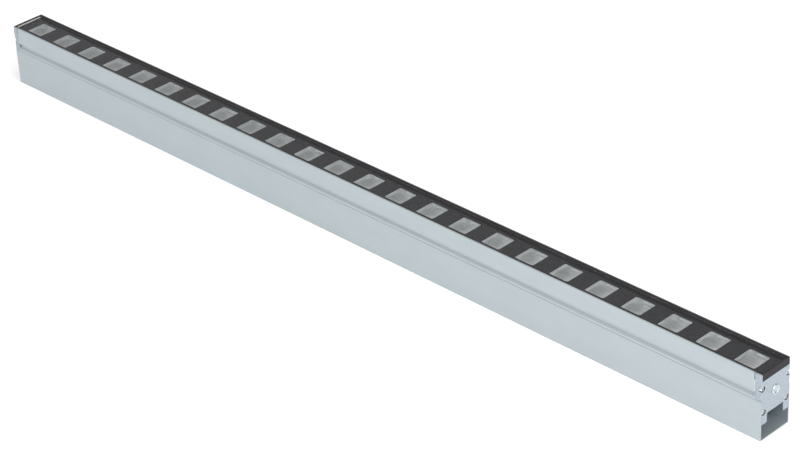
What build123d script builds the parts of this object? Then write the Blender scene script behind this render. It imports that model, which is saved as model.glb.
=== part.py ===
from build123d import *
import os

# A linear outdoor wall washer. A long aluminium light with 24 square optics under glass snaps down
# into a U-shaped mounting channel. Millimetres; X runs along the light, -Y is the front, +Z is up.
# The origin is the middle of the channel's underside.

# ------------------------------------------------------------------ driving dimensions: extrusions
length = 1000.0
width = 38.0

channel_wall = 1.0
channel_height = 39.8
channel_inner_radius = 0.8
channel_foot_radius = 0.8
channel_edge_radius = 0.6
slot_count = 4
slot_end_margin = 50.0  # from the channel's end to the middle of the outer fixing slot
slot_width = 5.2
slot_length = 14.0

seat_gap = 0.3  # under the housing's lip, above the channel's edge
side_gap = 0.2  # between the channel's wall and the light inside it

wall = 1.8
lip_height = 3.2
groove_height = 5.0
groove_depth = 2.1
head_height = 18.1  # from the top of the groove to the top of the light
rim = 1.1  # wall beside the glass
rim_radius = 0.7
ledge_depth = 2.5
ledge_thickness = 1.6
shelf_rise = 1.2  # underside of the LED shelf above the bottom of the groove
shelf_thickness = 2.0
lower_chamber_height = 17.5
leg_height = 9.2
leg_width = 7.0
leg_corner_radius = 1.0

# screw ports run the length of the housing and take the end cap screws
port_radius = 1.25
upper_port_inset = 2.2  # from the side face to the screw
upper_port_rise = 3.2  # from the top of the groove to the screw
upper_port_reach = 2.8
lower_port_inset = 2.6
lower_port_rise = 2.4
lower_port_reach = 2.6

# ------------------------------------------------------------------ driving dimensions: ends
cap_thickness = 7.0
cap_corner_radius = 0.8
gasket_thickness = 0.6
gasket_inset = 0.1
counterbore_radius = 2.8
counterbore_depth = 2.4
screw_head_radius = 2.25
screw_head_height = 1.8
head_rounding_share = 0.4  # of the head's height, for every pan head screw
screw_radius = 1.2
screw_hole_clearance = 0.2
screw_reach = 6.0  # how far a cap screw runs into the housing
cross_length = 2.6
cross_width = 0.6
cross_depth = 0.9
vent_rise = 3.0  # middle of the vent plug above the underside of the lip
vent_recess_radius = 5.2
vent_recess_depth = 1.6
vent_head_radius = 5.1
vent_head_height = 2.0
vent_head_chamfer = 0.8
vent_thread_radius = 3.5
vent_thread_clearance = 0.05
vent_dish_radius = 3.1
vent_dish_depth = 1.5
vent_seal_thickness = 0.6

# ------------------------------------------------------------------ driving dimensions: glass and optics
glass_thickness = 5.0
glass_corner_radius = 2.5
rim_over_glass = 1.4
glass_side_gap = 0.3
glass_end_gap = 1.2
sealant_drop = 0.2  # top of the sealant below the rim
sealant_lap = 0.9  # how far the sealant's sloping top runs in over the glass
sealant_land = 0.2  # flat top of the sealant beside the glass
mask_thickness = 0.6
window_radius = 2.0
window_lap = 0.3  # how far the mask covers the edge of each reflector's mouth
boards = 2
leds_per_board = 12
led_margin = 25.0  # from the end of the light to the middle of the first optic
cup_side_gap = 1.7
cup_wall = 1.0
cup_flange = 1.0
cup_collar = 3.5  # from the mask down to the frosted plate
plate_thickness = 1.2
plate_gap = 0.15  # round the frosted plate
plate_step = 1.1  # width of the step that carries it
cup_throat_half = 5.2
cup_mouth_radius = 2.2
cup_throat_radius = 1.6
pad_thickness = 0.4
pad_inset = 1.0
board_thickness = 1.6
board_side_gap = 0.6
board_end_gap = 0.8
board_split = 2.4
emitter_size = 3.5
emitter_height = 1.2
lens_radius = 4.2
lens_base = 1.2
lens_arc = 76.0  # degrees of the dome, the rest is its flat top
lens_pocket_radius = 2.7
lens_pocket_depth = 1.4
board_screw_step = 3  # one screw for every third optic
board_screw_radius = 1.2
board_screw_clearance = 0.05
board_hole_clearance = 0.3
board_screw_head_radius = 2.5
board_screw_head_height = 1.6
connector_length = 4.0
connector_width = 6.4
connector_height = 4.4
connector_offset = 3.6  # face of a connector from the split between the boards
connector_side = 3.4  # middle of a connector from the middle of the light

# ------------------------------------------------------------------ driving dimensions: driver
driver_length = 300.0
driver_overhang = 24.0  # how far the driver board runs past the middle of the light
driver_side_gap = 0.6
driver_thickness = 1.6
standoff_height = 4.0
standoff_radius = 2.5
standoff_inset = 6.0
driver_screw_radius = 1.2
driver_screw_clearance = 0.1
driver_screw_head_radius = 2.2
driver_screw_head_height = 1.4
driver_screw_reach = 3.0
coil_radius = 6.0
coil_bore_radius = 2.2
coil_height = 7.0
coil_count = 3
coil_pitch = 30.0
coil_margin = 50.0  # first coil from the far end of the driver board
capacitor_radius = 4.0
capacitor_height = 9.0
capacitor_rounding_share = 0.1  # of its radius
capacitor_count = 4
capacitor_pitch = 14.0
capacitor_gap = 6.0  # between the nearest capacitor and the chips
chip_length = 8.0
chip_width = 6.0
chip_height = 1.6
chip_count = 4
chip_pitch = 16.0
chip_gap = 3.5  # between the nearest chip and the terminal block
terminal_length = 9.0
terminal_width = 14.0
terminal_height = 7.5
terminal_screw_radius = 1.3
terminal_screw_depth = 1.0
terminal_bore_share = 0.6  # of the screw's radius
terminal_screw_offset = 2.6
wire_radius = 0.45
wire_bend = 2.6
wire_spacing = 2.0
wire_slot_half = 1.4
wire_slot_length = 11.0
wire_height = 2.2  # middle of the wire above the LED board where it enters its connector

# ------------------------------------------------------------------ driving dimensions: cable glands
gland_margin = 40.0  # from the end of the light
gland_flats = 15.0
gland_flange_height = 2.5
gland_nut_height = 5.6
gland_nut_chamfer = 1.2
gland_thread_radius = 6.0
gland_thread_clearance = 0.1
gland_body_bore = 4.0
gland_cable_bore = 3.2
gland_seal_radius = 5.0
gland_seal_length = 4.0
lock_nut_height = 3.0
gland_thread_end = 1.0  # thread past the lock nut
gland_membrane = 0.8  # closes a gland until a cable goes through

# ------------------------------------------------------------------ driving dimensions: spring clips
clip_thickness = 0.8
clip_length = 24.0
clip_gap = 0.1  # between a clip's arm and the light's foot
clip_base_inset = 0.8
clip_tip_inset = 0.9
clip_tip_gap = 2.2  # below the housing's floor
rivet_radius = 1.55
rivet_clearance = 0.05
rivet_head_radius = 2.8
rivet_head_height = 0.9
rivet_pitch = 14.0
rivet_recess = 0.3  # rivet's lower end above the channel's underside

# ------------------------------------------------------------------ levels and half widths that follow
half_length = length / 2
half_width = width / 2
channel_half = half_width - channel_wall
body_half = channel_half - side_gap
body_inner = body_half - wall
groove_half = half_width - groove_depth
rabbet_half = half_width - rim
ledge_half = rabbet_half - ledge_depth
foot_inner = body_half - leg_width

lip_bottom = channel_height + seat_gap
groove_bottom = lip_bottom + lip_height
groove_top = groove_bottom + groove_height
top = groove_top + head_height
glass_top = top - rim_over_glass
glass_bottom = glass_top - glass_thickness
ledge = glass_bottom - mask_thickness
shelf_bottom = groove_bottom + shelf_rise
shelf_top = shelf_bottom + shelf_thickness
floor_top = shelf_bottom - lower_chamber_height
floor_bottom = floor_top - wall
leg_bottom = floor_bottom - leg_height

cap_inner = half_length - cap_thickness
housing_end = cap_inner - gasket_thickness
upper_port_y = half_width - upper_port_inset
upper_port_z = groove_top + upper_port_rise
upper_port_inner = upper_port_y - upper_port_reach
lower_port_y = body_half - lower_port_inset
lower_port_z = floor_bottom + lower_port_rise
lower_port_inner = lower_port_y - lower_port_reach
vent_z = lip_bottom + vent_rise
port_places = ((upper_port_y, upper_port_z), (lower_port_y, lower_port_z))
cap_screws = [(side * y, z) for side in (-1, 1) for y, z in port_places]

cup_half = upper_port_inner - cup_side_gap
cup_mouth_half = cup_half - cup_wall
window_half = cup_mouth_half - window_lap
plate_seat = ledge - cup_collar - plate_thickness
board_bottom = shelf_top + pad_thickness
board_top = board_bottom + board_thickness
board_half = upper_port_inner - board_side_gap
board_outer = housing_end - board_end_gap
led_count = boards * leds_per_board
led_pitch = (length - 2 * led_margin) / (led_count - 1)
led_xs = [led_margin - half_length + i * led_pitch for i in range(led_count)]
board_screw_xs = [
    led_xs[board * leds_per_board + i] + led_pitch / 2
    for board in range(boards)
    for i in range(1, leds_per_board - 1, board_screw_step)
]

driver_end = driver_overhang
driver_start = driver_end - driver_length
driver_half = lower_port_inner - driver_side_gap
driver_bottom = floor_top + standoff_height
driver_top = driver_bottom + driver_thickness
driver_holes = [
    (x, side * (driver_half - standoff_radius))
    for x in (driver_start + standoff_inset, driver_end - standoff_inset)
    for side in (-1, 1)
]

gland_xs = [-(half_length - gland_margin), half_length - gland_margin]
clip_reach = foot_inner - clip_gap
clip_base_half = clip_reach - clip_base_inset
slot_pitch = (length - 2 * slot_end_margin) / (slot_count - 1)
slot_xs = [slot_end_margin - half_length + i * slot_pitch for i in range(slot_count)]
clip_xs = [x + slot_pitch / 2 for x in slot_xs[:-1]]


# ------------------------------------------------------------------ helpers
def block(y0, y1, z0, z1):
    """A rectangle in the cross-section plane."""
    return Pos((y0 + y1) / 2, (z0 + z1) / 2) * Rectangle(y1 - y0, z1 - z0)


def pair(y0, y1, z0, z1):
    """The same rectangle on the back half and on the front half of the cross-section."""
    return block(y0, y1, z0, z1) + block(-y1, -y0, z0, z1)


def bar(section, start, stop):
    """A cross-section drawn out along X."""
    return Pos(start, 0, 0) * extrude(Plane.YZ * section, amount=stop - start)


def box(x0, x1, y0, y1, z0, z1):
    return Pos((x0 + x1) / 2, (y0 + y1) / 2, (z0 + z1) / 2) * Box(x1 - x0, y1 - y0, z1 - z0)


def upright(x, y, z0, z1, radius):
    """A round bar along Z."""
    return Pos(x, y, (z0 + z1) / 2) * Cylinder(radius, z1 - z0)


def lying(y, z, x0, x1, radius):
    """A round bar along X."""
    return Pos((x0 + x1) / 2, y, z) * Rot(0, 90, 0) * Cylinder(radius, x1 - x0)


def corners(section, y, z):
    """The cross-section's corners at (y, z) and (-y, z)."""
    return section.vertices().filter_by(lambda v: abs(abs(v.X) - y) < 1e-6 and abs(v.Y - z) < 1e-6)


def other_end(part):
    return mirror(part, about=Plane.YZ)


def save(node, *solids):
    shape = solids[0] if len(solids) == 1 else Compound(children=list(solids))
    export_step(shape, f"parts/{node}.step")


# ------------------------------------------------------------------ mounting channel and its clips
def mounting_channel():
    section = block(-half_width, half_width, 0, channel_height)
    section -= block(-channel_half, channel_half, channel_wall, channel_height)
    section = fillet(corners(section, channel_half, channel_wall), channel_inner_radius)
    section = fillet(corners(section, half_width, 0), channel_foot_radius)
    section = fillet(corners(section, half_width, channel_height), channel_edge_radius)
    channel = bar(section, -half_length, half_length)
    for x in slot_xs:
        channel -= Pos(x, 0, 0) * extrude(SlotOverall(slot_length, slot_width), amount=channel_wall)
    for x in clip_xs:
        for side in (-1, 1):
            channel -= upright(x + side * rivet_pitch / 2, 0, 0, channel_wall, rivet_radius + rivet_clearance)
    return channel


def spring_clip(x):
    contact = leg_bottom
    tip = floor_bottom - clip_tip_gap
    arm = make_face(Polyline(
        (clip_base_half - clip_thickness, channel_wall),
        (clip_base_half, channel_wall),
        (clip_reach, contact),
        (clip_reach - clip_tip_inset, tip),
        (clip_reach - clip_tip_inset - clip_thickness, tip),
        (clip_reach - clip_thickness, contact),
        close=True,
    ))
    section = arm + mirror(arm, about=Plane.YZ)
    section += block(-clip_base_half, clip_base_half, channel_wall, channel_wall + clip_thickness)
    clip = bar(section, x - clip_length / 2, x + clip_length / 2)
    for side in (-1, 1):
        clip -= upright(
            x + side * rivet_pitch / 2,
            0,
            channel_wall,
            channel_wall + clip_thickness,
            rivet_radius + rivet_clearance,
        )
    return clip


def rivet(x):
    seat = channel_wall + clip_thickness
    return upright(x, 0, rivet_recess, seat, rivet_radius) + upright(
        x, 0, seat, seat + rivet_head_height, rivet_head_radius
    )


# ------------------------------------------------------------------ light housing
def port_holes():
    holes = Sketch()
    for y, z in cap_screws:
        holes += Pos(y, z) * Circle(port_radius)
    return holes


def sloped_lip(bottom, inset):
    """The lips that rest over the channel: their upper sides slope up at 45 degrees into the grooves."""
    inner, outer = groove_half - inset, half_width - inset
    lip = make_face(Polyline(
        (inner - wall / 2, bottom),
        (outer, bottom),
        (outer, groove_bottom - groove_depth / 2),
        (inner, groove_bottom + groove_depth / 2),
        (inner - wall / 2, groove_bottom + groove_depth / 2),
        close=True,
    ))
    return lip + mirror(lip, about=Plane.YZ)


def light_housing():
    section = pair(body_inner, body_half, leg_bottom, groove_bottom)
    section += pair(foot_inner, body_half, leg_bottom, leg_bottom + wall)
    section += block(-body_half, body_half, floor_bottom, floor_top)
    section += pair(lower_port_inner, body_half, floor_bottom, lower_port_z + lower_port_reach)
    section += pair(groove_half - wall, groove_half, lip_bottom, groove_bottom)
    section += sloped_lip(lip_bottom, 0)
    section += pair(groove_half - wall, groove_half, groove_bottom, groove_top)
    section += block(-groove_half + wall / 2, groove_half - wall / 2, shelf_bottom, shelf_top)
    section += pair(upper_port_inner, half_width, groove_top, upper_port_z + upper_port_reach)
    section += pair(half_width - wall, half_width, groove_top, ledge)
    section += pair(ledge_half, half_width, ledge - ledge_thickness, ledge)
    section += pair(rabbet_half, half_width, ledge, top)
    section = fillet(corners(section, half_width, top), rim_radius)
    section -= port_holes()
    housing = bar(section, -housing_end, housing_end)
    for x in gland_xs:
        housing -= upright(x, 0, floor_bottom, floor_top, gland_thread_radius + gland_thread_clearance)
    for x in board_screw_xs:
        housing -= upright(x, 0, shelf_bottom, shelf_top, board_screw_radius + board_screw_clearance)
    for x, y in driver_holes:
        housing -= upright(x, y, floor_bottom, floor_top, driver_screw_radius + driver_screw_clearance)
    housing -= box(
        -wire_slot_half, wire_slot_half, -wire_slot_length / 2, wire_slot_length / 2, shelf_bottom, shelf_top
    )
    return housing


# ------------------------------------------------------------------ ends
def end_cap():
    section = block(-half_width, half_width, lip_bottom, ledge)
    section += block(-body_half, body_half, leg_bottom, lip_bottom)
    section += pair(rabbet_half, half_width, ledge, top)
    section -= block(-foot_inner, foot_inner, leg_bottom, floor_bottom)
    for y, z in ((foot_inner, leg_bottom), (body_half, leg_bottom), (foot_inner, floor_bottom)):
        section = fillet(corners(section, y, z), leg_corner_radius)
    cap = bar(section, cap_inner, half_length)
    outer = cap.edges().filter_by(Axis.Z).filter_by(
        lambda e: abs(e.center().X - half_length) < 1e-6 and abs(abs(e.center().Y) - half_width) < 1e-6
    )
    cap = fillet(outer, cap_corner_radius)
    ridge = cap.edges().filter_by(Axis.X).filter_by(
        lambda e: abs(abs(e.center().Y) - half_width) < 1e-6 and abs(e.center().Z - top) < 1e-6
    )
    cap = fillet(ridge, rim_radius)
    for y, z in cap_screws:
        cap -= lying(y, z, cap_inner, half_length, screw_radius + screw_hole_clearance)
        cap -= lying(y, z, half_length - counterbore_depth, half_length, counterbore_radius)
    cap -= lying(0, vent_z, cap_inner, half_length, vent_thread_radius + vent_thread_clearance)
    cap -= lying(0, vent_z, half_length - vent_recess_depth, half_length, vent_recess_radius)
    return cap


def end_gasket():
    upper_half = half_width - gasket_inset
    section = block(-groove_half, groove_half, lip_bottom + gasket_inset, groove_bottom)
    section += sloped_lip(lip_bottom + gasket_inset, gasket_inset)
    section += block(-groove_half + gasket_inset, groove_half - gasket_inset, groove_bottom, groove_top)
    section += block(-upper_half, upper_half, groove_top, ledge)
    lower_half = body_half - gasket_inset
    section += block(-lower_half, lower_half, floor_bottom, lip_bottom + gasket_inset)
    for y, z in cap_screws:
        section -= Pos(y, z) * Circle(screw_radius + screw_hole_clearance)
    section -= Pos(0, vent_z) * Circle(vent_thread_radius + screw_hole_clearance)
    return bar(section, housing_end, cap_inner)


def cap_screw(y, z):
    """A pan head screw with a cross recess."""
    seat = half_length - counterbore_depth
    face = seat + screw_head_height
    head = lying(y, z, seat, face, screw_head_radius)
    head = fillet(head.edges().sort_by(Axis.X)[-1], screw_head_height * head_rounding_share)
    for long_y, long_z in ((cross_length, cross_width), (cross_width, cross_length)):
        head -= box(
            face - cross_depth, face, y - long_y / 2, y + long_y / 2, z - long_z / 2, z + long_z / 2
        )
    return head + lying(y, z, housing_end - screw_reach, seat, screw_radius)


def vent_plug():
    """A breather plug with a shallow dish in its head."""
    seat = half_length - vent_recess_depth + vent_seal_thickness
    face = seat + vent_head_height
    head = lying(0, vent_z, seat, face, vent_head_radius)
    head = chamfer(head.edges().sort_by(Axis.X)[-1], vent_head_chamfer)
    plug = head + lying(0, vent_z, cap_inner, seat, vent_thread_radius)
    ball = (vent_dish_radius**2 + vent_dish_depth**2) / (2 * vent_dish_depth)
    return plug - Pos(face - vent_dish_depth + ball, 0, vent_z) * Sphere(ball)


def vent_seal():
    seat = half_length - vent_recess_depth
    ring = lying(0, vent_z, seat, seat + vent_seal_thickness, vent_head_radius)
    bore_radius = vent_thread_radius + vent_thread_clearance
    return ring - lying(0, vent_z, seat, seat + vent_seal_thickness, bore_radius)


# ------------------------------------------------------------------ glass, mask and sealant
def cover_box(bottom, upper):
    """What fills the rabbet between the sealant's inner sides, from one level to another."""
    x = half_length - glass_end_gap
    y = rabbet_half - glass_side_gap
    outline = RectangleRounded(2 * x, 2 * y, glass_corner_radius)
    return Pos(0, 0, bottom) * extrude(outline, amount=upper - bottom)


def window_mask():
    mask = cover_box(ledge, glass_bottom)
    for x in led_xs:
        window = RectangleRounded(2 * window_half, 2 * window_half, window_radius)
        mask -= Pos(x, 0, ledge) * extrude(window, amount=mask_thickness)
    return mask


def glass_sealant():
    crest = top - sealant_drop
    bead = box(-half_length, half_length, -rabbet_half, rabbet_half, ledge, crest)
    bead -= cover_box(ledge, glass_top)
    upper_x = half_length - glass_end_gap - sealant_land
    upper_y = rabbet_half - glass_side_gap - sealant_land
    upper_radius = glass_corner_radius - sealant_land
    mouth_upper = RectangleRounded(2 * upper_x, 2 * upper_y, upper_radius)
    mouth_lower = RectangleRounded(
        2 * (upper_x - sealant_lap), 2 * (upper_y - sealant_lap), upper_radius - sealant_lap
    )
    return bead - loft([Pos(0, 0, glass_top) * mouth_lower, Pos(0, 0, crest) * mouth_upper], ruled=True)


# ------------------------------------------------------------------ optics and LED boards
def reflector(x):
    """A square cup with an upright collar, a step for the frosted plate, a taper and a flange."""
    cup = Pos(x, 0, ledge - cup_flange) * extrude(
        RectangleRounded(2 * cup_half, 2 * cup_half, cup_mouth_radius + cup_wall), amount=cup_flange
    )
    skin = cup_mouth_half + cup_wall / 2
    skin_outline = RectangleRounded(2 * skin, 2 * skin, cup_mouth_radius + cup_wall / 2)
    cup += Pos(x, 0, plate_seat) * extrude(skin_outline, amount=ledge - cup_flange - plate_seat)
    outside = cup_throat_half + cup_wall
    cup += loft([
        Pos(x, 0, board_top) * RectangleRounded(2 * outside, 2 * outside, cup_throat_radius + cup_wall),
        Pos(x, 0, plate_seat) * skin_outline,
    ], ruled=True)
    mouth = RectangleRounded(2 * cup_mouth_half, 2 * cup_mouth_half, cup_mouth_radius)
    cup -= Pos(x, 0, plate_seat) * extrude(mouth, amount=ledge - plate_seat)
    step = cup_mouth_half - plate_step
    cup -= loft([
        Pos(x, 0, board_top) * RectangleRounded(2 * cup_throat_half, 2 * cup_throat_half, cup_throat_radius),
        Pos(x, 0, plate_seat) * RectangleRounded(2 * step, 2 * step, cup_mouth_radius),
    ], ruled=True)
    return cup


def optic_plate(x):
    """A frosted square that lies on the step inside a reflector."""
    side = 2 * (cup_mouth_half - plate_gap)
    return Pos(x, 0, plate_seat) * extrude(
        RectangleRounded(side, side, cup_mouth_radius - plate_gap), amount=plate_thickness
    )


def led_lens(x):
    """A domed lens with a small flat on top and a pocket underneath for the emitter."""
    dome = CenterArc((0, lens_base), lens_radius, 0, lens_arc)
    tip = dome @ 1
    rest = Polyline(
        tip,
        (0, tip.Y),
        (0, lens_pocket_depth),
        (lens_pocket_radius, lens_pocket_depth),
        (lens_pocket_radius, 0),
        (lens_radius, 0),
        (lens_radius, lens_base),
    )
    return Pos(x, 0, board_top) * revolve(Plane.XZ * make_face([dome, rest]), Axis.Z)


def led_emitter(x):
    half = emitter_size / 2
    return box(x - half, x + half, -half, half, board_top, board_top + emitter_height)


def board_span(side):
    """Where the left (-1) or right (1) LED board starts and stops."""
    ends = (side * board_split / 2, side * board_outer)
    return min(ends), max(ends)


def led_board(side):
    start, stop = board_span(side)
    board = box(start, stop, -board_half, board_half, board_bottom, board_top)
    for x in board_screw_xs:
        if start < x < stop:
            board -= upright(x, 0, board_bottom, board_top, board_screw_radius + board_hole_clearance)
    return board


def heat_pad(side):
    start, stop = board_span(side)
    half = board_half - pad_inset
    pad = box(start, stop, -half, half, shelf_top, board_bottom)
    for x in board_screw_xs:
        if start < x < stop:
            pad -= upright(x, 0, shelf_top, board_bottom, board_screw_radius + board_hole_clearance)
    return pad - box(
        -wire_slot_half, wire_slot_half, -wire_slot_length / 2, wire_slot_length / 2, shelf_top, board_bottom
    )


def board_screw(x):
    head = upright(x, 0, board_top, board_top + board_screw_head_height, board_screw_head_radius)
    head = fillet(head.edges().sort_by(Axis.Z)[-1], board_screw_head_height * head_rounding_share)
    return head + upright(x, 0, shelf_bottom, board_top, board_screw_radius)


def board_connector(side):
    near = side * connector_offset
    far = side * (connector_offset + connector_length)
    y = side * connector_side
    return box(
        min(near, far), max(near, far), y - connector_width / 2, y + connector_width / 2,
        board_top, board_top + connector_height,
    )


# ------------------------------------------------------------------ driver
def driver_board():
    board = box(driver_start, driver_end, -driver_half, driver_half, driver_bottom, driver_top)
    for x, y in driver_holes:
        board -= upright(x, y, driver_bottom, driver_top, driver_screw_radius + driver_screw_clearance)
    return board


def standoff(x, y):
    pillar = upright(x, y, floor_top, driver_bottom, standoff_radius)
    return pillar - upright(x, y, floor_top, driver_bottom, driver_screw_radius + driver_screw_clearance)


def driver_screw(x, y):
    head = upright(x, y, driver_top, driver_top + driver_screw_head_height, driver_screw_head_radius)
    return head + upright(x, y, driver_bottom - driver_screw_reach, driver_top, driver_screw_radius)


def chip_x(i):
    """The middle of chip i, counted from the terminal block outwards."""
    return -terminal_length / 2 - chip_gap - chip_length / 2 - i * chip_pitch


def coil(i):
    x = driver_start + coil_margin + i * coil_pitch
    winding = upright(x, 0, driver_top, driver_top + coil_height, coil_radius)
    return winding - upright(x, 0, driver_top, driver_top + coil_height, coil_bore_radius)


def capacitor(i):
    x = chip_x(chip_count - 1) - chip_length / 2 - capacitor_gap - capacitor_radius - i * capacitor_pitch
    can = upright(x, 0, driver_top, driver_top + capacitor_height, capacitor_radius)
    return fillet(can.edges().sort_by(Axis.Z)[-1], capacitor_radius * capacitor_rounding_share)


def chip(i):
    x = chip_x(i)
    upper = driver_top + chip_height
    return box(x - chip_length / 2, x + chip_length / 2, -chip_width / 2, chip_width / 2, driver_top, upper)


wire_ys = [side * (connector_side + spread * wire_spacing / 2) for side in (-1, 1) for spread in (-1, 1)]


def terminal_block():
    top_face = driver_top + terminal_height
    half_x, half_y = terminal_length / 2, terminal_width / 2
    block_body = box(-half_x, half_x, -half_y, half_y, driver_top, top_face)
    for y in wire_ys:
        block_body -= upright(
            terminal_screw_offset,
            y,
            top_face - terminal_screw_depth,
            top_face,
            terminal_screw_radius * terminal_bore_share,
        )
    return block_body


def feed_wire(y):
    """A wire from the terminal block up through the shelf, then sideways into its connector."""
    side = 1 if y > 0 else -1
    start = driver_top + terminal_height
    level = board_top + wire_height
    path = FilletPolyline((0, y, start), (0, y, level), (side * connector_offset, y, level), radius=wire_bend)
    tube = sweep(Plane(origin=(0, y, start), z_dir=(0, 0, 1)) * Circle(wire_radius), path=path)
    print(f"feed wire at y {y:.1f}: bend radius {wire_bend}, length {path.length:.1f}")
    return tube


# ------------------------------------------------------------------ cable glands
def hexagon(x, z0, z1):
    prism = extrude(RegularPolygon(gland_flats / 2, 6, major_radius=False, rotation=30), amount=z1 - z0)
    return Pos(x, 0, z0) * Rot(0, 0, 30) * prism


flange_bottom = floor_bottom - gland_flange_height
gland_bottom = flange_bottom - gland_nut_height
seal_top = gland_bottom + gland_seal_length + gland_nut_chamfer


def gland_body(x):
    thread_top = floor_top + lock_nut_height + gland_thread_end
    body = hexagon(x, flange_bottom, floor_bottom)
    body += upright(x, 0, flange_bottom, thread_top, gland_thread_radius)
    return body - upright(x, 0, flange_bottom, thread_top - gland_membrane, gland_body_bore)


def gland_dome_nut(x):
    nut = hexagon(x, gland_bottom, flange_bottom)
    nut = chamfer(nut.faces().sort_by(Axis.Z)[0].edges(), gland_nut_chamfer)
    nut -= upright(x, 0, gland_bottom + gland_nut_chamfer, flange_bottom, gland_seal_radius)
    return nut - upright(x, 0, gland_bottom, gland_bottom + gland_nut_chamfer, gland_cable_bore)


def gland_lock_nut(x):
    nut = hexagon(x, floor_top, floor_top + lock_nut_height)
    return nut - upright(
        x, 0, floor_top, floor_top + lock_nut_height, gland_thread_radius + gland_thread_clearance
    )


def gland_seal(x):
    ring = upright(x, 0, gland_bottom + gland_nut_chamfer, seal_top, gland_seal_radius)
    return ring - upright(x, 0, gland_bottom + gland_nut_chamfer, seal_top, gland_cable_bore)


# ------------------------------------------------------------------ write one file for each piece
def main():
    os.makedirs("parts", exist_ok=True)
    save("mounting_channel", mounting_channel())
    for i, x in enumerate(clip_xs, 1):
        save(f"spring_clip_{i}", spring_clip(x))
    save("clip_rivets", *[rivet(x + side * rivet_pitch / 2) for x in clip_xs for side in (-1, 1)])

    save("light_housing", light_housing())
    cap, gasket, plug = end_cap(), end_gasket(), vent_plug()
    save("end_cap_right", cap)
    save("end_cap_left", other_end(cap))
    save("end_gaskets", gasket, other_end(gasket))
    save("vent_plug_right", plug)
    save("vent_plug_left", other_end(plug))
    save("vent_seals", vent_seal(), other_end(vent_seal()))
    screws = [cap_screw(y, z) for y, z in cap_screws]
    save("end_cap_screws", *screws, *[other_end(screw) for screw in screws])

    save("glass_cover", cover_box(glass_bottom, glass_top))
    save("window_mask", window_mask())
    save("glass_sealant", glass_sealant())
    for i, x in enumerate(led_xs, 1):
        save(f"reflector_{i:02d}", reflector(x))
    save("optic_plates", *[optic_plate(x) for x in led_xs])
    save("led_lenses", *[led_lens(x) for x in led_xs])
    save("led_emitters", *[led_emitter(x) for x in led_xs])
    save("led_board_left", led_board(-1))
    save("led_board_right", led_board(1))
    save("heat_pads", heat_pad(-1), heat_pad(1))
    save("board_screws", *[board_screw(x) for x in board_screw_xs])
    save("board_connectors", board_connector(-1), board_connector(1))

    save("driver_board", driver_board())
    save("driver_standoffs", *[standoff(x, y) for x, y in driver_holes])
    save("driver_screws", *[driver_screw(x, y) for x, y in driver_holes])
    save("driver_coils", *[coil(i) for i in range(coil_count)])
    save("driver_capacitors", *[capacitor(i) for i in range(capacitor_count)])
    save("driver_chips", *[chip(i) for i in range(chip_count)])
    save("driver_terminal_block", terminal_block())
    save("feed_wires", *[feed_wire(y) for y in wire_ys])

    save("gland_bodies", *[gland_body(x) for x in gland_xs])
    save("gland_dome_nuts", *[gland_dome_nut(x) for x in gland_xs])
    save("gland_lock_nuts", *[gland_lock_nut(x) for x in gland_xs])
    save("gland_seals", *[gland_seal(x) for x in gland_xs])


main()
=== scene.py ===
import math

import bmesh
import bpy
from mathutils import Matrix, Vector


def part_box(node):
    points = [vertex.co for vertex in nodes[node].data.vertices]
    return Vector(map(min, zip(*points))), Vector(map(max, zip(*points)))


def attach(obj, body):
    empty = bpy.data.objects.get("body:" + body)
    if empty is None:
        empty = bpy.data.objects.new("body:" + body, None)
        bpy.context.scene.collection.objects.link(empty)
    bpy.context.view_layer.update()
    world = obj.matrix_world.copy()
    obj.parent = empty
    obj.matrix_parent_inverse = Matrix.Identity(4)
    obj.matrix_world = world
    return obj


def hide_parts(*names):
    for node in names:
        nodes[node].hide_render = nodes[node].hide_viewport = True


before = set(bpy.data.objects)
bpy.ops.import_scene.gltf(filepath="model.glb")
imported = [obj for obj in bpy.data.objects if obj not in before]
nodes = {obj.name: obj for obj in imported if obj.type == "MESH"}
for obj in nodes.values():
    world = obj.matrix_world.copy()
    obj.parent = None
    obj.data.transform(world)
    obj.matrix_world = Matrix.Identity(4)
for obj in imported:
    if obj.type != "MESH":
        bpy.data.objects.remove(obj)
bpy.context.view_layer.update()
scene = bpy.context.scene
scene.view_settings.view_transform = "Standard"


# ------------------------------------------------------------------ camera at the photograph's viewing angle
picture_width = 804
half_pixel = 0.5 / picture_width
camera_place = Vector((1.57417, -1.42493, 1.26984))
camera_aim = Vector((0.06224, 0, 0.02794))
camera_roll = math.radians(-3.2282)

camera_data = bpy.data.cameras.new("camera")
camera_data.lens = 115.96
camera_data.sensor_width = 36
camera_data.sensor_fit = "HORIZONTAL"
camera_data.shift_x = -half_pixel
camera_data.shift_y = half_pixel
camera = bpy.data.objects.new("camera", camera_data)
scene.collection.objects.link(camera)
camera.matrix_world = (
    Matrix.Translation(camera_place)
    @ (camera_aim - camera_place).to_track_quat("-Z", "Y").to_matrix().to_4x4()
    @ Matrix.Rotation(camera_roll, 4, "Z")
)
scene.camera = camera


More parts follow.
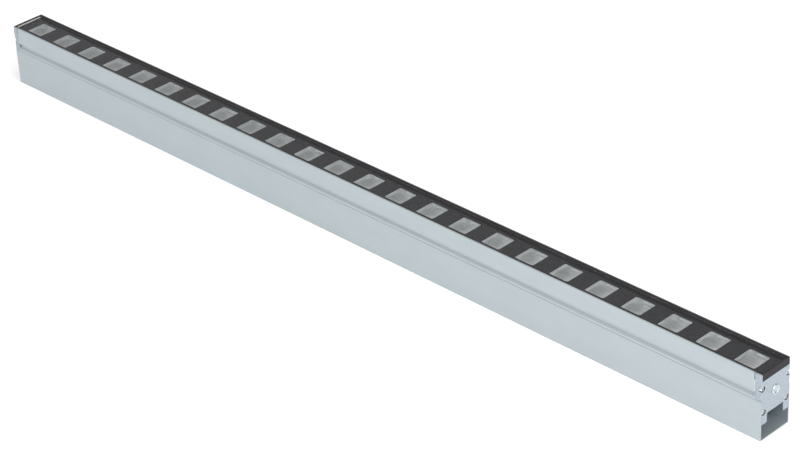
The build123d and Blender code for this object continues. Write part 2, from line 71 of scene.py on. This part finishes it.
# ------------------------------------------------------------------ material helpers
class Paint:
    """A material and short ways to add nodes to it."""

    def __init__(self, name):
        self.material = bpy.data.materials.new(name)
        self.material.use_nodes = True
        self.tree = self.material.node_tree
        self.tree.nodes.clear()
        self.output = self.add("ShaderNodeOutputMaterial")
        self.shader = self.add("ShaderNodeBsdfPrincipled")
        self.link(self.shader.outputs["BSDF"], self.output.inputs["Surface"])
        self.place = self.add("ShaderNodeTexCoord").outputs["Object"]

    def add(self, kind, **settings):
        node = self.tree.nodes.new(kind)
        for name, value in settings.items():
            setattr(node, name, value)
        return node

    def link(self, start, end):
        self.tree.links.new(start, end)

    def feed(self, socket, value):
        """Link a socket to another node's output, or write a plain number into it."""
        if isinstance(value, bpy.types.NodeSocket):
            self.link(value, socket)
        else:
            socket.default_value = value

    def set(self, **values):
        """Write numbers and colours on the shader's own sockets, named with underscores."""
        for name, value in values.items():
            socket = self.shader.inputs[name.replace("_", " ")]
            socket.default_value = (*value, 1) if isinstance(value, tuple) else value
        return self

    def stretched(self, x, y, z):
        """The place on the object, in so many waves to the metre along each axis."""
        mapping = self.add("ShaderNodeMapping")
        mapping.inputs["Scale"].default_value = (x, y, z)
        self.link(self.place, mapping.inputs["Vector"])
        return mapping.outputs["Vector"]

    def noise(self, where, detail):
        """Soft noise from about 0.3 to 0.7, whose size comes from where it is read."""
        node = self.add("ShaderNodeTexNoise")
        node.inputs["Scale"].default_value = 1
        node.inputs["Detail"].default_value = detail
        self.link(where, node.inputs["Vector"])
        return node.outputs["Fac"]

    def axis(self, letter):
        """One coordinate of the place on the object, in metres."""
        node = self.add("ShaderNodeSeparateXYZ")
        self.link(self.place, node.inputs["Vector"])
        return node.outputs[letter]

    def calculate(self, kind, *values):
        """A Math node on plain numbers and on other nodes' outputs."""
        node = self.add("ShaderNodeMath", operation=kind)
        for socket, value in zip(node.inputs, values):
            self.feed(socket, value)
        return node.outputs["Value"]

    def between(self, factor, low, high, start=0.0, stop=1.0):
        """A value that runs from low to high as the factor runs from start to stop."""
        node = self.add("ShaderNodeMapRange")
        node.inputs["From Min"].default_value = start
        node.inputs["From Max"].default_value = stop
        node.inputs["To Min"].default_value = low
        node.inputs["To Max"].default_value = high
        self.link(factor, node.inputs["Value"])
        return node.outputs["Result"]

    def tint(self, factor, low, high):
        """A colour that runs from low to high as the factor runs from 0 to 1."""
        node = self.add("ShaderNodeMix", data_type="RGBA")
        for socket, value in ((node.inputs[6], low), (node.inputs[7], high)):
            self.feed(socket, (*value, 1) if isinstance(value, tuple) else value)
        self.link(factor, node.inputs["Factor"])
        return node.outputs[2]

    def colour(self, socket):
        self.link(socket, self.shader.inputs["Base Color"])

    def rough(self, socket):
        self.link(socket, self.shader.inputs["Roughness"])

    def gap_shade(self, reach):
        """A mask for painted shade: 0 deep in gaps and corners narrower than the reach, 1 on open surfaces.
        """
        node = self.add("ShaderNodeAmbientOcclusion", samples=8)
        node.inputs["Distance"].default_value = reach
        return node.outputs["AO"]

    def bump(self, height, distance, edge=0.0):
        """Small height changes, over edges that look rounded to the given radius."""
        node = self.add("ShaderNodeBump")
        node.inputs["Distance"].default_value = distance
        self.link(height, node.inputs["Height"])
        if edge:
            rounded = self.add("ShaderNodeBevel", samples=4)
            rounded.inputs["Radius"].default_value = edge
            self.link(rounded.outputs["Normal"], node.inputs["Normal"])
        self.link(node.outputs["Normal"], self.shader.inputs["Normal"])


def scaled(tone, share):
    """The tone made darker by a share under 1, or lighter by one over 1."""
    return tuple(share * channel for channel in tone)


def anodised(name, tone, roughness, edge):
    """Satin anodised aluminium with faint lines from the extrusion die."""
    paint = Paint(name)
    paint.set(Metallic=0.65)
    lines = paint.noise(paint.stretched(5, 700, 700), detail=3)
    cloud = paint.noise(paint.stretched(25, 70, 70), detail=4)
    flecks = paint.tint(cloud, scaled(tone, 0.95), scaled(tone, 1.05))
    face = paint.tint(paint.between(lines, 0, 0.25), flecks, scaled(tone, 0.80))
    paint.colour(face)
    paint.rough(paint.between(lines, roughness - 0.05, roughness + 0.05))
    paint.bump(lines, 0.00002, edge=edge)
    return paint


def cast_metal(name, tone, roughness):
    """Blasted and anodised casting: a visible grain with lighter and darker specks."""
    paint = Paint(name)
    paint.set(Metallic=0.75)
    grain = paint.noise(paint.stretched(1500, 1500, 1500), detail=3)
    specks = paint.noise(paint.stretched(560, 560, 560), detail=2)
    cloud = paint.noise(paint.stretched(110, 110, 110), detail=4)
    base = paint.tint(cloud, scaled(tone, 0.94), scaled(tone, 1.05))
    face = paint.tint(paint.between(specks, 0, 1, 0.35, 0.75), base, scaled(tone, 0.78))
    # painted shade: the colour goes dark, down to 15 percent of the tone, in gaps and corners narrower than
    # 3 mm
    paint.colour(paint.tint(paint.between(paint.gap_shade(0.003), 0, 1, 0.15, 0.6), scaled(tone, 0.15), face))
    paint.rough(paint.between(grain, roughness - 0.08, roughness + 0.08))
    paint.bump(grain, 0.00008, edge=0.0003)
    return paint


def steel(name, tone, roughness, shade_reach=0.0):
    """Bright metal, with painted shade where it stands closer than the given gap to what is round it."""
    paint = Paint(name)
    paint.set(Metallic=1.0)
    scratches = paint.noise(paint.stretched(1200, 300, 1200), detail=3)
    face = paint.tint(scratches, scaled(tone, 0.9), tone)
    # painted shade: the colour goes dark, down to 12 percent of the tone, in gaps narrower than the given
    # reach
    if shade_reach:
        face = paint.tint(paint.between(paint.gap_shade(shade_reach), 0, 1, 0.2, 0.7), scaled(tone, 0.12), face)
    paint.colour(face)
    paint.rough(paint.between(scratches, roughness - 0.06, roughness + 0.08))
    paint.bump(scratches, 0.00001, edge=0.00015)
    return paint


def moulded(name, tone, roughness, grain=1800, swing=0.12, level=0.5):
    """Moulded plastic or rubber with a fine grain."""
    paint = Paint(name)
    paint.set(Specular_IOR_Level=level)
    fine = paint.noise(paint.stretched(grain, grain, grain), detail=2)
    cloud = paint.noise(paint.stretched(90, 90, 90), detail=3)
    paint.colour(paint.tint(cloud, scaled(tone, 1 - swing), scaled(tone, 1 + swing)))
    paint.rough(paint.between(fine, roughness - 0.05, roughness + 0.05))
    paint.bump(fine, 0.000012)
    return paint


def glassy():
    paint = Paint("cover_glass")
    paint.set(Base_Color=(0.97, 0.985, 0.98), Roughness=0.0, IOR=1.5, Transmission_Weight=1.0)
    return paint


def reflector_finish():
    """Metallised satin plastic with the soft peel that such reflectors have."""
    paint = Paint("reflector_metal")
    paint.set(Metallic=0.05)
    peel = paint.noise(paint.stretched(420, 420, 420), detail=2)
    paint.colour(paint.tint(peel, (0.77, 0.79, 0.81), (0.86, 0.88, 0.90)))
    paint.rough(paint.between(peel, 0.36, 0.48))
    paint.bump(peel, 0.00004)
    return paint


# painted shade and light on the frosted plates: the spot where each plate is darkest, and how far the shade
# reaches
painted_shade_place = (-0.0052, 0.0005)  # from the middle of each plate
painted_shade_core = 0.005
painted_shade_reach = 0.012


def frosted_plate():
    """Frosted optic, brushed along X, with painted shade round a spot near the middle of each plate and
    painted light towards its edges.
    """
    paint = Paint("frosted_plate")
    paint.set(Metallic=0.5)
    strokes = paint.noise(paint.stretched(110, 900, 300), detail=3)
    cloud = paint.noise(paint.stretched(150, 150, 150), detail=3)
    row_start = 0.5 - plate_first / plate_pitch
    plates = paint.calculate("MULTIPLY_ADD", paint.axis("X"), 1 / plate_pitch, row_start)
    share = paint.calculate("SUBTRACT", paint.calculate("FRACT", plates), 0.5)
    along = paint.calculate("MULTIPLY_ADD", share, plate_pitch, -painted_shade_place[0])
    across = paint.calculate("ADD", paint.axis("Y"), -painted_shade_place[1])
    squares = [paint.calculate("MULTIPLY", offset, offset) for offset in (along, across)]
    distance = paint.calculate("SQRT", paint.calculate("ADD", *squares))
    # painted light and shade: dark grey at the spot, near white at the plate's edges
    shade_to_light = paint.between(distance, 0, 1, painted_shade_core, painted_shade_reach)
    base = paint.tint(shade_to_light, (0.52, 0.535, 0.55), (0.97, 0.98, 0.99))
    base = paint.tint(paint.between(strokes, 0, 0.4, 0.4, 0.65), base, (0.80, 0.82, 0.83))
    paint.colour(paint.tint(paint.between(cloud, 0, 0.4, 0.4, 0.7), base, (0.42, 0.43, 0.44)))
    paint.rough(paint.between(strokes, 0.32, 0.46))
    paint.bump(strokes, 0.00002)
    return paint


def circuit_board(name, mask, trace):
    """Solder mask over copper traces, which show as a pattern of another tone."""
    paint = Paint(name)
    brick = paint.add("ShaderNodeTexBrick")
    brick.inputs["Scale"].default_value = 260
    brick.inputs["Mortar Size"].default_value = 0.006
    brick.inputs["Color1"].default_value = (*mask, 1)
    brick.inputs["Color2"].default_value = (*mask, 1)
    brick.inputs["Mortar"].default_value = (*trace, 1)
    paint.link(paint.place, brick.inputs["Vector"])
    paint.colour(brick.outputs["Color"])
    paint.set(Roughness=0.35)
    return paint


def clear_lens():
    paint = Paint("lens_clear")
    paint.set(Base_Color=(0.93, 0.95, 0.96), Roughness=0.12, IOR=1.49, Transmission_Weight=0.85)
    return paint


def emitter():
    paint = Paint("emitter_yellow")
    spots = paint.noise(paint.stretched(1500, 1500, 1500), detail=1)
    paint.colour(paint.tint(spots, (0.80, 0.66, 0.20), (0.90, 0.78, 0.30)))
    paint.set(Roughness=0.3)
    return paint


# ------------------------------------------------------------------ finishes of the CAD nodes
def middle(node):
    """The middle of a node's box along X."""
    low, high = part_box(node)
    return (low[0] + high[0]) / 2


led_count = 24
plate_first = middle("reflector_01")
plate_pitch = middle("reflector_02") - plate_first

ALUMINIUM = (0.485, 0.54, 0.567)
CAST = (0.437, 0.494, 0.545)
finishes = {
    "mounting_channel": anodised("anodised_channel", ALUMINIUM, 0.46, 0.0004),
    "light_housing": anodised("anodised_housing", scaled(ALUMINIUM, 1.02), 0.44, 0.0005),
    "end_cap_left": cast_metal("cast_cap", CAST, 0.46),
    "end_cap_screws": steel("screw_steel", (0.76, 0.78, 0.80), 0.24, 0.0015),
    "spring_clip_1": steel("spring_steel", (0.62, 0.63, 0.64), 0.25),
    "vent_plug_left": cast_metal("plug_metal", (0.58, 0.64, 0.68), 0.32),
    "clip_rivets": steel("rivet_metal", (0.66, 0.67, 0.68), 0.35),
    "glass_sealant": moulded("black_sealant", (0.034, 0.032, 0.036), 0.65, 700, level=0.2),
    "window_mask": moulded("black_mask", (0.007, 0.006, 0.012), 0.6, swing=0.2, level=0.08),
    "reflector_01": reflector_finish(),
    "optic_plates": frosted_plate(),
    "led_lenses": clear_lens(),
    "led_emitters": emitter(),
    "led_board_left": circuit_board("white_board", (0.78, 0.79, 0.77), (0.66, 0.67, 0.62)),
    "board_connectors": moulded("white_plastic", (0.74, 0.74, 0.70), 0.45),
    "end_gaskets": moulded("pale_silicone", (0.76, 0.81, 0.83), 0.5),
    "vent_seals": moulded("grey_silicone", (0.42, 0.45, 0.46), 0.5),
    "driver_board": circuit_board("green_board", (0.02, 0.12, 0.05), (0.05, 0.22, 0.09)),
    "driver_standoffs": moulded("standoff_plastic", (0.60, 0.60, 0.55), 0.5),
    "driver_coils": steel("coil_copper", (0.55, 0.24, 0.10), 0.3),
    "driver_capacitors": moulded("capacitor_sleeve", (0.02, 0.03, 0.07), 0.3),
    "driver_chips": moulded("black_plastic", (0.015, 0.015, 0.017), 0.5),
    "driver_terminal_block": moulded("terminal_green", (0.03, 0.20, 0.08), 0.4),
    "feed_wires": moulded("wire_red", (0.45, 0.02, 0.015), 0.4),
}
same_finish = {
    "end_cap_right": "end_cap_left",
    "spring_clip_2": "spring_clip_1",
    "spring_clip_3": "spring_clip_1",
    "board_screws": "spring_clip_1",
    "driver_screws": "spring_clip_1",
    "vent_plug_right": "vent_plug_left",
    "led_board_right": "led_board_left",
    "heat_pads": "vent_seals",
    "gland_seals": "vent_seals",
    "gland_bodies": "driver_chips",
    "gland_dome_nuts": "driver_chips",
    "gland_lock_nuts": "driver_chips",
}


def coat(obj, *paints):
    """Give an object these materials in place of its own."""
    obj.data.materials.clear()
    for paint in paints:
        obj.data.materials.append(paint.material)


# ------------------------------------------------------------------ cover glass with its ground edges
pane_gap = 0.0001  # between the pane and the sealant and mask that it touches, so that each shows


def glass_pane():
    """The pane with polished faces, ground ends, and long edges in a dark brown that is painted shade."""
    source = nodes["glass_cover"]
    underside = min(corner.co.z for corner in source.data.vertices)
    pane = bpy.data.objects.new("glass_pane", source.data.copy())
    scene.collection.objects.link(pane)
    coat(
        pane,
        glassy(),
        moulded("ground_glass_end", (0.80, 0.82, 0.80), 0.6),
        moulded("glass_edge_painted_shade", (0.110, 0.100, 0.092), 0.5),
    )
    for corner in pane.data.vertices:
        for axis in (0, 1):
            corner.co[axis] -= math.copysign(pane_gap, corner.co[axis])
        corner.co.z = max(corner.co.z, underside + pane_gap)
    # painted shade: the long edges take a dark brown, the short ends the pale ground glass
    for face in pane.data.polygons:
        on_edge = abs(face.normal.z) < 0.5
        at_end = abs(face.normal.x) > 0.7
        face.material_index = (1 if at_end else 2) if on_edge else 0
    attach(pane, "light")
    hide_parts("glass_cover")


# ------------------------------------------------------------------ pieces that the CAD model leaves out
def rod(mesh, outlines):
    """Add a solid between two flat outlines with as many points each."""
    rings = [[mesh.verts.new(point) for point in outline] for outline in outlines]
    for ring in rings:
        mesh.faces.new(ring)
    count = len(rings[0])
    for i in range(count):
        j = (i + 1) % count
        mesh.faces.new((rings[0][i], rings[0][j], rings[1][j], rings[1][i]))


def added_piece(name, mesh):
    """An object of the light made from a finished mesh."""
    bmesh.ops.recalc_face_normals(mesh, faces=mesh.faces)
    data = bpy.data.meshes.new(name)
    mesh.to_mesh(data)
    mesh.free()
    piece = bpy.data.objects.new(name, data)
    scene.collection.objects.link(piece)
    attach(piece, "light")
    return piece


# pale strip at each short side of the glass, a painted highlight: outline inwards from the sealant's foot
# and up from the glass
sealant_over_glass = 0.0011
strip_half_length = 0.015
strip_height = 0.0009
strip_outline = (
    (0.0005, 0),
    (0.00045, 0.0007),
    (0.0002, strip_height),
    (-0.0005, strip_height),
    (0, 0),
)


def highlight_strips():
    """Strips at the foot of the sealant, pale only on the side that faces the windows: a painted highlight.
    """
    mesh = bmesh.new()
    glass_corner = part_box("glass_cover")[1]
    foot = glass_corner[0] - sealant_over_glass
    for side in (-1, 1):
        rod(mesh, [
            [(side * (foot - inwards), y, glass_corner[2] + height) for inwards, height in strip_outline]
            for y in (-strip_half_length, strip_half_length)
        ])
    strips = added_piece("highlight_strips", mesh)
    coat(strips, finishes["board_connectors"], finishes["glass_sealant"])
    # painted highlight: faces towards the windows take the white plastic, the rest the black sealant
    for face in strips.data.polygons:
        takes_painted_highlight = -face.normal.x * math.copysign(1, face.center.x) > 0.9
        face.material_index = 0 if takes_painted_highlight else 1


# pale bar above a frosted plate, a painted highlight along the cup's wall: outline out from the cup's wall
# and up from the mask's underside
cup_wall = 0.001
bar_top = -0.0014
bar_bottom = -0.0026
bar_width = 0.0013
bar_fall = 0.0003  # of its top, towards the middle of the window
bar_outline = (
    (0, bar_top),
    (0, bar_bottom),
    (-bar_width, bar_bottom),
    (-bar_width, bar_top - bar_fall),
)
bar_ends = (-0.0035, 0.0105)  # along X from the middle of the window, for the bar at the back


def plate_bars():
    """A bar at the back and, turned half round, at the front of every cup, above its plate."""
    mesh = bmesh.new()
    mask_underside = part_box("window_mask")[0][2]
    for number in range(1, led_count + 1):
        cup = f"reflector_{number:02d}"
        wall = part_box(cup)[1][1] - cup_wall
        for side in (-1, 1):
            rod(mesh, [
                [
                    (middle(cup) + side * x, side * (wall + out), mask_underside + up)
                    for out, up in bar_outline
                ]
                for x in bar_ends
            ])
    bars = added_piece("plate_bars", mesh)
    # painted highlight: the bars are near white so that they show as bright streaks along the cups' walls
    coat(bars, moulded("bar_painted_highlight", (0.93, 0.95, 0.97), 0.35, swing=0.02))


# ------------------------------------------------------------------ every piece with its finish
for name, obj in nodes.items():
    if name == "glass_cover":
        continue
    like = "reflector_01" if name.startswith("reflector_") else same_finish.get(name, name)
    coat(obj, finishes[like])
glass_pane()
highlight_strips()
plate_bars()


# ------------------------------------------------------------------ floor, world and lamps
floor_size = 30
floor_glow = 0.35  # added where the floor is seen, so that it comes out white
bright_side = (0.3, -0.57, 0.765)  # direction from which the studio is brightest

bpy.ops.mesh.primitive_plane_add(size=floor_size, location=(0, 0, 0))
floor = bpy.context.object
floor.name = "floor"
ground = Paint("floor_paint")
ground.set(Base_Color=(0.80, 0.80, 0.80), Roughness=1.0, Specular_IOR_Level=0.0, Emission_Color=(1, 1, 1))
rays = ground.add("ShaderNodeLightPath")
seen = rays.outputs["Is Camera Ray"]
for kind in ("Is Glossy Ray", "Is Transmission Ray"):
    seen = ground.calculate("MAXIMUM", seen, rays.outputs[kind])
ground.link(ground.calculate("MULTIPLY", seen, floor_glow), ground.shader.inputs["Emission Strength"])
coat(floor, ground)

world = bpy.data.worlds.new("studio")
scene.world = world
world.use_nodes = True
background = world.node_tree.nodes["Background"]
background.inputs["Color"].default_value = (1, 1, 1, 1)
direction = world.node_tree.nodes.new("ShaderNodeTexCoord")
facing = world.node_tree.nodes.new("ShaderNodeVectorMath")
facing.operation = "DOT_PRODUCT"
facing.inputs[1].default_value = bright_side
rise = world.node_tree.nodes.new("ShaderNodeMapRange")
rise.inputs["From Min"].default_value = -0.3
rise.inputs["From Max"].default_value = 0.7
rise.inputs["To Min"].default_value = 0.24
rise.inputs["To Max"].default_value = 0.95
world.node_tree.links.new(direction.outputs["Generated"], facing.inputs[0])
world.node_tree.links.new(facing.outputs["Value"], rise.inputs["Value"])
world.node_tree.links.new(rise.outputs["Result"], background.inputs["Strength"])


def lamp(name, place, target, size, power):
    """A square lamp that looks from its place to the target."""
    data = bpy.data.lights.new(name, "AREA")
    data.shape = "SQUARE"
    data.size = size
    data.energy = power
    obj = bpy.data.objects.new(name, data)
    scene.collection.objects.link(obj)
    obj.location = place
    obj.rotation_euler = (Vector(target) - Vector(place)).to_track_quat("-Z", "Y").to_euler()


lamp("top", (0.3, 0.2, 2.2), (0, 0, 0), 1.2, 6)
lamp("right", (2.0, -0.5, 1.5), (0.4, 0, 0), 1.0, 26)
